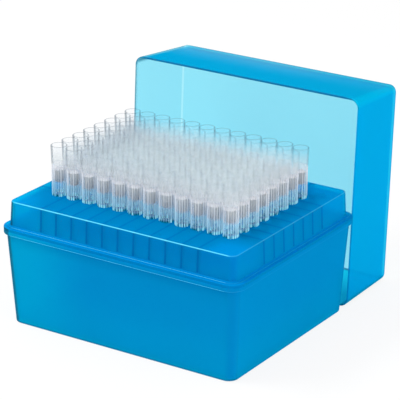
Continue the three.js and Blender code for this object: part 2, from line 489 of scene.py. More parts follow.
# ---- lid: tints and colours ----
LID_PALE_TINT = (0.54, 0.892, 0.976)
LID_DEEP_TINT = (0.08, 0.79, 0.953)
LID_TOP_TINT = (0.06, 0.74, 0.89)
LID_HIGHLIGHT_TINT = (0.64, 0.93, 0.99)
LID_EDGE_TINT = (0.2, 0.48, 0.58)
LID_PALE_BLUE = (0.55, 0.9, 0.97)
LID_WALL_BLUE = (0.0, 0.42, 0.78)
LID_TOP_BLUE = (0.0, 0.385, 0.68)
LID_LOW_PAINTED_LIGHT = (0.02, 0.88, 1.0)
LID_MOUTH_BLUE = (0.0, 0.16, 0.34)
LID_CORNER_PAINTED_LIGHT = (0.0, 0.62, 0.92)
LID_LIP_BLUE = (0.05, 0.26, 0.34)
LID_STRIP_BLUE = (0.0, 0.36, 0.5)
LID_SKYLINE_BLUE = (0.02, 0.25, 0.33)

# ---- lid: where it changes, in millimetres, and how far its bends are seen along their face ----
LID_POLISH_END = (lid_high.x - 3, lid_high.x - 1)
LID_CORNER_X = (lid_high.x - 9, lid_high.x - 6)
LID_CORNER_Z = (lid_high.z - 9, lid_high.z - 6)
LID_LINE_Z = (lid_low.z + 2, lid_low.z + 6)
LID_HIGHLIGHT_X = (lid_low.x + 6, lid_low.x + 10)
LID_HIGHLIGHT_Y = (lid_high.y - 5, lid_high.y - 4)
LID_TOP_Z = (lid_high.z - 2.5, lid_high.z - 1.3)
LID_LOW_Z = (lid_low.z + 2, lid_low.z + 4)
LID_FLOOR_SHADE_Z = (lid_low.z + 0.9, lid_low.z + 2.2)
LID_MOUTH_EDGE = (0.2, 0.7)  # from the mouth
LID_MOUTH_EDGE_Z = (lid_high.z - 6, lid_high.z - 4)
LID_DEEP_WALLS = (2.0, 7.0)  # from the left wall
LID_LIP = (0.5, 1.3)  # from the left wall
LID_LIP_DEPTH = (1.0, 2.0)  # from the mouth
LID_GLOSS_X = (-10, 50)
LID_GLOSS_Y = (lid_low.y + 12, lid_high.y)
LID_STRIP_Y = (lid_high.y - 6, lid_high.y - 2.5)
LID_BEND_TURN = (0.4, 0.6)
LID_SKYLINE_TURN = (0.8, 0.95)


def lid_plastic():
    """The lid's thin plastic: pale in its plate, and painted just as pale in its left wall as
    painted light from behind; deeper in the other walls, with painted light low on its bottom wall
    and at its far top corner, a painted highlight along its left inner corner, painted shade where
    it stands on the floor, a soft gloss on the top wall near the plate and a dark line round its
    bends."""
    material, tree = new_material("lid_blue_plastic")
    x, y, z = place_of(tree)
    cloud = cloudiness(tree, 14.0)
    drift = cloudiness(tree, 9.0, 1.0)
    plate = marked(tree, "plate")
    fillet = marked(tree, "fillet")
    bend = 1 - (1 - fillet) * (1 - marked(tree, "corner") * (1 - plate))
    polish = marked(tree, "polish") * (1 - eased(x, *LID_POLISH_END) * 0.8)
    face = along_face(tree)
    # painted light: the bends at the far top corner are painted lighter blue
    far_corner = eased(x, *LID_CORNER_X) * eased(z, *LID_CORNER_Z)
    outlined = eased(face, *LID_BEND_TURN) * bend * (1 - polish) * (1 - far_corner * 0.9)
    outlined = outlined * (eased(z, *LID_LINE_Z) * 0.8 + 0.2)
    # painted highlight: a clearer, lighter line along the inner corner between the left wall and the
    # plate
    left_painted_highlight = fillet * faded(x, *LID_HIGHLIGHT_X)
    left_painted_highlight = left_painted_highlight * eased(y, *LID_HIGHLIGHT_Y) * (1 - plate)
    outlined = outlined * (1 - left_painted_highlight)
    skyline = eased(face, *LID_SKYLINE_TURN) * fillet
    from_mouth = y - lid_low.y - z * SKIRT_DRAFT
    upright = z + from_mouth * math.tan(2 * math.atan(SKIRT_DRAFT))
    top = eased(upright, *LID_TOP_Z)
    # painted light: the inside of the bottom wall is painted lighter where it lies in shade
    low = faded(z, *LID_LOW_Z) * (1 - upright_of(tree))
    mouth_edge = faded(from_mouth, *LID_MOUTH_EDGE) * eased(z, *LID_MOUTH_EDGE_Z)
    from_left = x - lid_low.x - from_mouth * SKIRT_DRAFT
    # painted light: the left wall is painted as pale as the plate, as if lit from behind, while the
    # other walls stay deeper
    deep = eased(from_left, *LID_DEEP_WALLS) * (1 - plate)
    gloss = eased(y, *LID_GLOSS_Y) ** 2 * top * (1 - eased(x, *LID_GLOSS_X) * 0.7)
    far_strip = eased(y, *LID_STRIP_Y) * top
    left_lip = faded(from_left, *LID_LIP) * faded(from_mouth, *LID_LIP_DEPTH)
    # painted shade: dark along the bottom where the lid stands on the floor
    floor_shade = faded(z, *LID_FLOOR_SHADE_Z) * deep * bend
    wall = mixed(tree, top, clear(tree, LID_DEEP_TINT), clear(tree, LID_TOP_TINT))
    tinted = mixed(tree, deep, clear(tree, LID_PALE_TINT), wall)
    tinted = mixed(tree, outlined, tinted, clear(tree, LID_EDGE_TINT))
    tinted = mixed(tree, left_painted_highlight, tinted, clear(tree, LID_HIGHLIGHT_TINT))
    share = 0.05 + deep * 0.5 + face**2 * 0.1 + cloud * 0.05 + drift * (1 - deep) * 0.2
    share = share * (1 - outlined * 0.8) + mouth_edge * 0.3 + floor_shade * 0.6
    share = share + left_lip * 0.55 + skyline * 0.4 + far_strip * 0.15 + low * 0.1
    share = share * (1 - left_painted_highlight * 0.8)
    layers = [
        (low, LID_LOW_PAINTED_LIGHT),
        (mouth_edge, LID_MOUTH_BLUE),
        (floor_shade, FLOOR_SHADE_BLUE),
        (far_corner * bend * 0.7, LID_CORNER_PAINTED_LIGHT),
        (left_lip * 0.9, LID_LIP_BLUE),
        (far_strip * 0.6, LID_STRIP_BLUE),
        (skyline * 0.9, LID_SKYLINE_BLUE),
    ]
    walls = blended(tree, top, LID_WALL_BLUE, LID_TOP_BLUE)
    shaded = principled(
        tree,
        {
            "Base Color": layered(tree, blended(tree, deep, LID_PALE_BLUE, walls), layers),
            "Roughness": cloud * 0.1 + 0.3,
            "IOR": PLASTIC_IOR,
            "Specular IOR Level": 0.0,
            "Coat Weight": (polish + gloss * 0.4) * (1 - skyline * 0.9) + 0.01,
            "Coat Roughness": 0.2,
            "Coat IOR": 1.7,
            "Normal": skin_grain(tree, 0.04),
        },
    )
    return finished(material, tree, mixed(tree, share, tinted, shaded))


# ---- tips: tints and colours; "front" is seen square on, "side" along the face ----
TIP_TINT = (0.985, 0.992, 0.998)
TIP_EDGE_TINT = (0.6, 0.63, 0.66)
TIP_LIGHT_TINT = (0.985, 0.99, 0.995)
# painted reflection: the deck's blue painted into the clear collar low down, light and dark in
# streaks
GAP_DARK_PAINTED_REFLECTION = (0.0, 0.08, 0.14)
GAP_LIGHT_PAINTED_REFLECTION = (0.0, 0.35, 0.5)
GROOVE_LOW_PAINTED_REFLECTION = (0.2, 0.5, 0.7)
# painted shade: grey in the grooves where they are seen square on
GROOVE_FRONT_PAINTED_SHADE = (0.32, 0.34, 0.37)
GROOVE_SIDE = (0.7, 0.75, 0.8)
TOOTH_DARK_PAINTED_REFLECTION = (0.0, 0.24, 0.36)
TOOTH_LIGHT_PAINTED_REFLECTION = (0.5, 1.0, 1.0)
RIDGE_LOW_PAINTED_REFLECTION = (0.58, 0.85, 0.94)
RIDGE_HIGH = (0.88, 0.91, 0.95)
SHAFT_WHITE = (0.8, 0.86, 0.88)
FUNNEL_WHITE = (0.78, 0.78, 0.81)
# painted light: the tips in the middle of the box are painted whiter than the outer ones
MILK_OUTER = (0.66, 0.71, 0.71)
MILK_INNER_PAINTED_LIGHT = (0.92, 1.0, 0.95)

# ---- tips: where they change, in millimetres ----
TIP_SEAT_Z = (filter_low.z - 0.4, filter_low.z + 0.3)
TIP_HELD_Z = (filter_high.z - 0.3, filter_high.z + 0.3)
TIP_FUNNEL_Z = (filter_high.z - 0.3, filter_high.z + 0.4)
TIP_FUNNEL_END_Z = (RIBS_TOP - 0.6, RIBS_TOP + 0.8)
TIP_MOUTH_Z = (RIBS_TOP - 0.8, RIBS_TOP + 0.4)
TIP_HAZE_Z = (RIBS_TOP + 1, TIP_TOP - 1)
TIP_FOOT_Z = (DECK_TOP + 0.5, DECK_TOP + 2.4)
TIP_RIM_Z = (TIP_TOP - 0.3, TIP_TOP - 0.1)
INNER_TIPS_X = (PITCH * -4.6, PITCH * -3.4)
INNER_TIPS_Y = (PITCH * 2.4, PITCH * 3.2)
LEFT_TIPS_X = (PITCH * -5.7, PITCH * -5.5)
MIDDLE_TIPS_X = (PITCH * -5.5, PITCH * -2.5)
MIDDLE_TIPS_Y = (PITCH * -4.2, PITCH * -1.2)
MIDDLE_TIPS_END_X = (PITCH * 4, PITCH * 6)

# ---- tips: how far a wall is seen along its face, and how streaks part light from dark ----
TIP_WALL_TURN = (0.5, 0.9)
LEFT_TIP_TURN = (0.35, 0.75)
STREAK_PARTS = (0.2, 0.45)


def tip_plastic():
    """Clear natural plastic: hazy low in the mouth, milky round the funnel over the filter, and
    painted whiter in the tips in the middle of the box as painted light; its ribbed collar has
    ribs whiter than its grooves, which are painted grey as shade, and near the deck it is painted
    with the deck's blue as a painted reflection, streaked light and dark."""
    material, tree = new_material("clear_tip_plastic")
    x, y, z = place_of(tree)
    face = along_face(tree)
    streak = streaks(tree)
    rib = marked(tree, "rib")
    collar = marked(tree, "collar")
    over_seat = eased(z, *TIP_SEAT_Z)
    held = over_seat * faded(z, *TIP_HELD_Z)
    funnel = eased(z, *TIP_FUNNEL_Z)
    funnel = funnel * faded(z, *TIP_FUNNEL_END_Z)
    mouth = eased(z, *TIP_MOUTH_Z)
    haze = mouth * faded(z, *TIP_HAZE_Z)
    low = 1 - over_seat
    foot = faded(z, *TIP_FOOT_Z)
    rim = eased(z, *TIP_RIM_Z)
    inner = eased(x, *INNER_TIPS_X) * faded(y, *INNER_TIPS_Y)
    outlines = eased(face, *TIP_WALL_TURN) * mouth * (0.7 - inner * 0.5)
    outlines = outlines + rim * 0.5 * (1 - inner * 0.8)
    outer_left = faded(x, *LEFT_TIPS_X)
    outlines = outlines + outer_left * eased(face, *LEFT_TIP_TURN) * mouth * 0.6
    middle = eased(x, *MIDDLE_TIPS_X) * eased(y, *MIDDLE_TIPS_Y)
    middle = middle * faded(x, *MIDDLE_TIPS_END_X)
    see_through = mixed(tree, outlines, clear(tree, TIP_TINT), clear(tree, TIP_EDGE_TINT))
    share = 0.025 + haze * 0.14 + funnel * 0.25
    on_rib = rib * (0.15 + streak * 0.35 + low * 0.12 + foot * 0.7)
    in_groove = (1 - rib) * (0.1 + held * 0.02 + foot * 0.85)
    share = share + collar * (on_rib + in_groove + face**2 * over_seat * 0.2)
    parted = eased(streak, *STREAK_PARTS)
    # painted reflection of the deck's blue near the deck, streaked light and dark
    gap = blended(tree, parted, GAP_DARK_PAINTED_REFLECTION, GAP_LIGHT_PAINTED_REFLECTION)
    # painted shade in the grooves, paler where they are seen along the face
    round_side = blended(tree, face**2, GROOVE_FRONT_PAINTED_SHADE, GROOVE_SIDE)
    groove = layered(tree, GROOVE_LOW_PAINTED_REFLECTION, [(foot, gap), (over_seat, round_side)])
    tooth = blended(tree, parted, TOOTH_DARK_PAINTED_REFLECTION, TOOTH_LIGHT_PAINTED_REFLECTION)
    ridge = layered(tree, RIDGE_LOW_PAINTED_REFLECTION, [(foot, tooth), (over_seat, RIDGE_HIGH)])
    ribbing = blended(tree, rib, groove, ridge)
    # painted light: the middle tips whiter, to even out the light inside the box
    milk = blended(tree, middle, MILK_OUTER, MILK_INNER_PAINTED_LIGHT)
    layers = [(collar, ribbing), (funnel, FUNNEL_WHITE), (mouth, milk)]
    shaded = principled(
        tree,
        {
            "Base Color": layered(tree, SHAFT_WHITE, layers),
            "Roughness": 0.25,
            "IOR": PLASTIC_IOR,
            "Specular IOR Level": 0.1,
        },
    )
    surface = mixed(tree, share, see_through, shaded)
    return finished(material, tree, lit_through(tree, surface, TIP_LIGHT_TINT))


# painted shade over the grain down the side, painted light on the top face
FILTER_PORE_AND_SHADE = (0.25, 0.27, 0.28)
FILTER_GRAIN_AND_SHADE = (0.35, 0.37, 0.38)
FILTER_PAINTED_LIGHT_TOP = (0.5, 0.51, 0.53)
FILTER_PAINTED_LIGHT_TOP_Z = (filter_high.z - 0.5, filter_high.z - 0.2)


def porous_filter():
    """Sintered white filter: matt, with fine open grain, painted brighter on its top face as painted
    light from above, and painted grey down its side, where the collar holds it, as painted shade."""
    material, tree = new_material("porous_filter")
    z = place_of(tree)[2]
    grain = mould_noise(tree, 2600.0, 4.0)
    speckle = eased(tree.value(grain, "Fac"), 0.3, 0.7)
    side = blended(tree, speckle, FILTER_PORE_AND_SHADE, FILTER_GRAIN_AND_SHADE)
    shaded = principled(
        tree,
        {
            "Base Color": blended(tree, eased(z, *FILTER_PAINTED_LIGHT_TOP_Z), side, FILTER_PAINTED_LIGHT_TOP),
            "Roughness": 0.9,
            "Specular IOR Level": 0.2,
            "Normal": relief(tree, grain, 0.4),
        },
    )
    return finished(material, tree, shaded)


# ---------------------------------------------------------------- mesh helpers
def bend(offset, height, corner, fillet=0, polish=0):
    """A point of a shell's section: the offset from the deck's outline, the height, the radius
    of the outline's corners, the radius of the fillet there and how polished that is."""
    return offset, height, corner, fillet, polish


def rounded(points):
    """Turns points made with `bend` into a run of
    (offset, height, corner radius, polish, fillet mark) points with the fillets as arcs. The
    polish and the mark are full in the middle of an arc and none on the flat faces."""
    run = []
    for k, (offset, height, corner, fillet, polish) in enumerate(points):
        here = Vector((offset, height, corner))
        if k in (0, len(points) - 1) or fillet <= 0:
            run.append((*here, 0.0, 0.0))
            continue
        before = Vector(points[k - 1][:3]) - here
        after = Vector(points[k + 1][:3]) - here
        flat_before, flat_after = Vector(before[:2]), Vector(after[:2])
        half = (math.pi - flat_before.angle(flat_after)) / 2
        reach = fillet * math.tan(half)
        reach = min(reach, 0.49 * flat_before.length, 0.49 * flat_after.length)
        start = here + before * (reach / flat_before.length)
        end = here + after * (reach / flat_after.length)
        for step in range(FILLET_STEPS + 1):
            t = step / FILLET_STEPS
            place = start.lerp(here, t).lerp(here.lerp(end, t), t)
            middle = math.sin(t * math.pi)
            run.append((*place, polish * middle**3, middle))
    return run


def outline(offset, height, corner):
    """A rounded rectangle that stands `offset` outside the deck's outline."""
    corner = max(corner, 0.05)
    centre_x = DECK_LENGTH / 2 + offset - corner
    centre_y = DECK_WIDTH / 2 + offset - corner
    ring = []
    for quarter in range(4):
        side_x = 1 if quarter in (0, 3) else -1
        side_y = 1 if quarter < 2 else -1
        for step in range(CORNER_STEPS + 1):
            angle = (quarter + step / CORNER_STEPS) * math.pi / 2
            x = side_x * centre_x + corner * math.cos(angle)
            y = side_y * centre_y + corner * math.sin(angle)
            ring.append((x * MM, y * MM, height * MM))
    return ring


def loft_mesh(name, rings, marks=None, point_marks=None):
    """A closed mesh through equal rings, with a flat face on the first and the last. Marks are
    named lists of numbers kept on the points, one number for each ring or for each point."""
    count = len(rings[0])
    points = [p for ring in rings for p in ring]
    faces = []
    for start in range(0, len(points) - count, count):
        for k in range(count):
            after = (k + 1) % count
            faces.append((start + k, start + after, start + count + after, start + count + k))
    faces.append(tuple(reversed(range(count))))
    faces.append(tuple(range(len(points) - count, len(points))))
    mesh = bpy.data.meshes.new(name)
    mesh.from_pydata(points, [], faces)
    for mark_name, numbers in (marks or {}).items():
        mark_points(mesh, mark_name, [number for number in numbers for _ in range(count)])
    for mark_name, numbers in (point_marks or {}).items():
        mark_points(mesh, mark_name, numbers)
    tidy_mesh(mesh)
    return mesh


def mark_points(mesh, mark_name, numbers):
    """Keeps a number on each point of a mesh, for its material to read."""
    kept = mesh.attributes.new(mark_name, "FLOAT", "POINT")
    kept.data.foreach_set("value", numbers)


def tidy_mesh(mesh):
    """Merges doubled points and turns the faces outwards."""
    clean = bmesh.new()
    clean.from_mesh(mesh)
    bmesh.ops.remove_doubles(clean, verts=clean.verts, dist=1e-7)
    bmesh.ops.recalc_face_normals(clean, faces=clean.faces)
    clean.to_mesh(mesh)
    clean.free()


def lofted_shell(name, run, marks=None):
    """A shell through the run's outlines, marked at its polish, its fillets and its corners."""
    corner_bend = [
        math.sin(step / CORNER_STEPS * math.pi) for _ in range(4) for step in range(CORNER_STEPS + 1)
    ]
    return loft_mesh(
        name,
        [outline(offset, height, corner) for offset, height, corner, *_ in run],
        {
            "polish": [polish for *_, polish, _ in run],
            "fillet": [fillet for *_, fillet in run],
            **(marks or {}),
        },
        {"corner": corner_bend * len(run)},
    )


def piece(name, mesh, material, crease=SHELL_CREASE):
    """A shown piece of the object, smooth but for edges sharper than the crease angle."""
    made = bpy.data.objects.new(name, mesh)
    bpy.context.scene.collection.objects.link(made)
    mesh.materials.clear()
    mesh.materials.append(material)
    mesh.polygons.foreach_set("use_smooth", [True] * len(mesh.polygons))
    mesh.set_sharp_from_angle(angle=math.radians(crease))
    return made


def settle_normals(made):
    """Weights the normals by face area, so that flat walls stay flat beside their fillets."""
    weighted = made.modifiers.new("flat_walls", "WEIGHTED_NORMAL")
    weighted.keep_sharp = True
    apply_modifiers(made)


def apply_modifiers(made):
    """Turns a piece with its modifiers into a plain mesh."""
    graph = bpy.context.evaluated_depsgraph_get()
    plain = bpy.data.meshes.new_from_object(
        made.evaluated_get(graph), preserve_all_data_layers=True, depsgraph=graph
    )
    made.modifiers.clear()
    made.data = plain


# ---------------------------------------------------------------- geometry nodes
def geometry_tree(name, inputs):
    """A geometry node tree with a geometry input, the named inputs and a geometry output."""
    group = bpy.data.node_groups.new(name, "GeometryNodeTree")
    group.interface.new_socket("Geometry", in_out="INPUT", socket_type="NodeSocketGeometry")
    for label, kind in inputs:
        group.interface.new_socket(label, in_out="INPUT", socket_type=kind)
    group.interface.new_socket("Geometry", in_out="OUTPUT", socket_type="NodeSocketGeometry")
    tree = Tree(group)
    return group, tree, tree.node("NodeGroupInput")


def tip_grid_points(tree, given):
    """Points at the tip centres, from the tree's Pitch, Columns and Rows."""
    length = (tree.value(given, "Columns") - 1) * tree.value(given, "Pitch")
    width = (tree.value(given, "Rows") - 1) * tree.value(given, "Pitch")
    return tree.node(
        "GeometryNodeMeshGrid",
        None,
        {
            "Size X": length,
            "Size Y": width,
            "Vertices X": given.outputs["Columns"],
            "Vertices Y": given.outputs["Rows"],
        },
    )


def copies_on(tree, points, instance):
    """A geometry repeated on points, as a plain mesh."""
    copies = tree.node(
        "GeometryNodeInstanceOnPoints", None, {"Points": points, "Instance": instance}
    )
    return tree.node("GeometryNodeRealizeInstances", None, {0: copies.outputs[0]}).outputs[0]


def give_out(tree, given, geometry):
    """Gives a geometry out of the tree, with the tree's Material on it."""
    painted = tree.node(
        "GeometryNodeSetMaterial",
        None,
        {"Geometry": geometry, "Material": given.outputs["Material"]},
    )
    tree.node("NodeGroupOutput", None, {"Geometry": painted.outputs[0]})


def grid_values(material):
    """The values of GRID_INPUTS for this box."""
    return {"Pitch": PITCH * MM, "Columns": COLUMNS, "Rows": ROWS, "Material": material}


GRID_INPUTS = [
    ("Pitch", "NodeSocketFloat"),
    ("Columns", "NodeSocketInt"),
    ("Rows", "NodeSocketInt"),
    ("Material", "NodeSocketMaterial"),
]


def one_in_each_seat():
    """Repeats the input piece at every tip centre."""
    group, tree, given = geometry_tree("one_in_each_seat", GRID_INPUTS)
    seats = tip_grid_points(tree, given)
    give_out(tree, given, copies_on(tree, seats.outputs["Mesh"], given.outputs["Geometry"]))
    return group


def drilled_deck():
    """Cuts a round hole through the input shell at every tip centre."""
    group, tree, given = geometry_tree(
        "drilled_deck",
        GRID_INPUTS + [("Hole radius", "NodeSocketFloat"), ("Deck height", "NodeSocketFloat")],
    )
    seats = tip_grid_points(tree, given)
    lift = tree.node("ShaderNodeCombineXYZ", None, {"Z": given.outputs["Deck height"]})
    raised = tree.node(
        "GeometryNodeTransform",
        None,
        {"Geometry": seats.outputs["Mesh"], "Translation": lift.outputs[0]},
    )
    drill = tree.node(
        "GeometryNodeMeshCylinder",
        None,
        {
            "Vertices": DRILL_SIDES,
            "Radius": given.outputs["Hole radius"],
            "Depth": DRILL_DEPTH * MM,
        },
    )
    drills = copies_on(tree, raised.outputs[0], drill.outputs["Mesh"])
    cut = tree.node(
        "GeometryNodeMeshBoolean",
        {"operation": "DIFFERENCE", "solver": "EXACT"},
        {"Mesh 1": given.outputs["Geometry"], "Mesh 2": drills},
    )
    give_out(tree, given, cut.outputs["Mesh"])
    return group


def crossing_ribs():
    """Upright ribs between the rows and between the columns, joined where they cross."""
    group, tree, given = geometry_tree(
        "crossing_ribs",
        GRID_INPUTS
        + [
            ("Length", "NodeSocketFloat"),
            ("Width", "NodeSocketFloat"),
            ("Thickness", "NodeSocketFloat"),
            ("Depth", "NodeSocketFloat"),
            ("Middle height", "NodeSocketFloat"),
        ],
    )

    def ribs(count, along_x):
        spread = (tree.value(given, count) - 2) * tree.value(given, "Pitch")
        start = spread * -0.5
        axis = "X" if along_x else "Y"
        low = tree.node(
            "ShaderNodeCombineXYZ", None, {axis: start, "Z": given.outputs["Middle height"]}
        )
        step = tree.node("ShaderNodeCombineXYZ", None, {axis: given.outputs["Pitch"]})
        line = tree.node(
            "GeometryNodeMeshLine",
            {"mode": "OFFSET", "count_mode": "TOTAL"},
            {
                "Count": tree.value(given, count) - 1,
                "Start Location": low.outputs[0],
                "Offset": step.outputs[0],
            },
        )
        size = {
            "X": given.outputs["Thickness"] if along_x else given.outputs["Length"],
            "Y": given.outputs["Width"] if along_x else given.outputs["Thickness"],
            "Z": given.outputs["Depth"],
        }
        extent = tree.node("ShaderNodeCombineXYZ", None, size)
        plate = tree.node("GeometryNodeMeshCube", None, {"Size": extent.outputs[0]})
        return copies_on(tree, line.outputs[0], plate.outputs["Mesh"])

    crossing = tree.node("GeometryNodeMeshBoolean", {"operation": "UNION", "solver": "EXACT"})
    for run in (ribs("Columns", True), ribs("Rows", False)):
        tree.tree.links.new(run, crossing.inputs["Mesh 2"])
    give_out(tree, given, crossing.outputs["Mesh"])
    return group


def run_tree(made, group, values):
    """Runs a geometry node tree on a piece and keeps the result as its plain mesh."""
    modifier = made.modifiers.new(group.name, "NODES")
    modifier.node_group = group
    for item in group.interface.items_tree:
        if item.in_out == "INPUT" and item.name in values:
            modifier[item.identifier] = values[item.name]
    apply_modifiers(made)


# ---------------------------------------------------------------- camera
CAMERA_AZIMUTH = math.radians(32.76)
CAMERA_ELEVATION = math.radians(20.72)
CAMERA_ROLL = math.radians(0.51)
CAMERA_DISTANCE = 1063.7
CAMERA_TARGET = Vector((11.93, -0.04, 63.96))
CAMERA_LENS = 196.8
CAMERA_SENSOR = 36.0
CAMERA_CLIP = (0.05, 50.0)  # metres


def make_camera():
    back = Vector(
        (
            math.sin(CAMERA_AZIMUTH) * math.cos(CAMERA_ELEVATION),
            -math.cos(CAMERA_AZIMUTH) * math.cos(CAMERA_ELEVATION),
            math.sin(CAMERA_ELEVATION),
        )
    )
    right = (-back).cross(Vector((0, 0, 1))).normalized()
    up = right.cross(-back)
    across = right * math.cos(CAMERA_ROLL) + up * math.sin(CAMERA_ROLL)
    upward = up * math.cos(CAMERA_ROLL) - right * math.sin(CAMERA_ROLL)
    data = bpy.data.cameras.new("camera")
    data.lens = CAMERA_LENS
    data.sensor_width = CAMERA_SENSOR
    data.clip_start, data.clip_end = CAMERA_CLIP
    camera = bpy.data.objects.new("camera", data)
    bpy.context.scene.collection.objects.link(camera)
    turned = Matrix((across, upward, back)).transposed().to_4x4()
    turned.translation = (CAMERA_TARGET + back * CAMERA_DISTANCE) * MM
    camera.matrix_world = turned
    bpy.context.scene.camera = camera


# ---------------------------------------------------------------- pieces
def make_base(material):
    """The base, from the flat under its foot up its wall, over the rim and down inside."""

    def wall(height):
        at_rim = SKIRT_HEIGHT * SKIRT_DRAFT + INSERT_GAP + BASE_WALL
        return at_rim - (RIM_TOP - height) * BASE_DRAFT

    under_rim = RIM_TOP - RIM_THICK
    inside = BASE_RADIUS - BASE_WALL
    run = rounded(
        [
            bend(wall(0) - FOOT_INSET, 0, FOOT_INSET_RADIUS),
            bend(wall(0), 0, BASE_RADIUS, FOOT_FILLET),
            bend(wall(under_rim), under_rim, BASE_RADIUS, UNDER_RIM_FILLET),
            bend(FLANGE_OUT, under_rim, FLANGE_RADIUS, RIM_FILLET, polish=1),
            bend(FLANGE_OUT, RIM_TOP, FLANGE_RADIUS, FLANGE_EDGE),
            bend(wall(RIM_TOP) - BASE_WALL, RIM_TOP, inside, INSIDE_FILLET),
            bend(wall(FLOOR_THICK) - BASE_WALL, FLOOR_THICK, inside, FLOOR_FILLET),
            bend(wall(0) - FLOOR_INSET, FLOOR_THICK, FLOOR_INSET_RADIUS),
        ]
    )
    made = piece("base_shell", lofted_shell("base_shell", run), material)
    settle_normals(made)
    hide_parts("base")
    return made


def make_tray(material):
    """The tray, from under its deck down inside, round the insert, over the flange and its low
    bead and up the skirt to the deck, then drilled for the tips."""

    def wall(height):
        return (DECK_TOP - height) * SKIRT_DRAFT

    def insert(height):
        return wall(FLANGE_TOP) - (RIM_TOP - height) * BASE_DRAFT

    underside = DECK_TOP - DECK_THICK
    bottom = RIM_TOP - INSERT_DEPTH
    inside = DECK_RADIUS - SKIRT_WALL
    bead = (wall(FLANGE_TOP) + FLANGE_OUT) / 2
    bead_radius = (DECK_RADIUS + FLANGE_RADIUS) / 2
    run = rounded(
        [
            bend(-FLAT_REACH, underside, inside),
            bend(wall(underside) - SKIRT_WALL, underside, inside, UNDER_DECK_FILLET),
            bend(insert(RIM_TOP) - SKIRT_WALL, RIM_TOP, inside, INSIDE_FILLET),
            bend(insert(bottom) - SKIRT_WALL, bottom, inside, INSIDE_FILLET),
            bend(insert(bottom), bottom, DECK_RADIUS, INSIDE_FILLET),
            bend(insert(RIM_TOP), RIM_TOP, DECK_RADIUS),
            bend(FLANGE_OUT, RIM_TOP, FLANGE_RADIUS, FLANGE_EDGE),
            bend(FLANGE_OUT, FLANGE_TOP - BEAD_HEIGHT, FLANGE_RADIUS, FLANGE_FILLET),
            bend(bead, FLANGE_TOP - BEAD_HEIGHT, bead_radius, BEAD_FOOT_FILLET),
            bend(bead, FLANGE_TOP, bead_radius, BEAD_FILLET, polish=1),
            bend(wall(FLANGE_TOP), FLANGE_TOP, DECK_RADIUS, SKIRT_FOOT_FILLET),
            bend(0, DECK_TOP, DECK_RADIUS, DECK_FILLET, polish=1),
            bend(-FLAT_REACH, DECK_TOP, DECK_RADIUS),
        ]
    )
    made = piece("tray_shell", lofted_shell("tray_shell", run), material)
    run_tree(
        made,
        drilled_deck(),
        {
            **grid_values(material),
            "Hole radius": HOLE_RADIUS * MM,
            "Deck height": DECK_TOP * MM,
        },
    )
    made.data.set_sharp_from_angle(angle=math.radians(SHELL_CREASE))
    settle_normals(made)
    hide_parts("tray")
    return made


def make_ribs(material):
    """The tray's ribs, which hang under the deck between the rows and columns of tips."""
    made = piece("tray_ribs", bpy.data.meshes.new("tray_ribs"), material)
    underside = DECK_TOP - DECK_THICK
    run_tree(
        made,
        crossing_ribs(),
        {
            **grid_values(material),
            "Length": (DECK_LENGTH - 2 * SKIRT_WALL - 2 * RIB_GAP) * MM,
            "Width": (DECK_WIDTH - 2 * SKIRT_WALL - 2 * RIB_GAP) * MM,
            "Thickness": RIB_THICK * MM,
            "Depth": RIB_DEPTH * MM,
            "Middle height": (underside - RIB_GAP - RIB_DEPTH / 2) * MM,
        },
    )
    made.data.polygons.foreach_set("use_smooth", [False] * len(made.data.polygons))
    return made


def ribbed(radius, valley):
    """Angles and radii round a collar with V grooves between flat-topped ribs, three points to
    a rib."""
    step = 2 * math.pi / TIP_RIBS
    around = []
    for rib in range(TIP_RIBS):
        around.append(((rib - 0.5) * step, valley))
        around.append(((rib - RIB_FLAT / 2) * step, radius))
        around.append(((rib + RIB_FLAT / 2) * step, radius))
    return around


def tip_ring(height, radius, valley=None):
    """A ring of points round the tip's axis; a valley radius puts the ribs' grooves in. A
    point's last two numbers are 1 on the ribbed collar and 1 on a rib of it, else 0."""
    around = ribbed(radius, radius if valley is None else valley)
    collar = float(valley is not None)
    return [
        (
            r * math.cos(a) * MM,
            r * math.sin(a) * MM,
            height * MM,
            collar,
            collar * float(r > (valley or r)),
        )
        for a, r in around
    ]


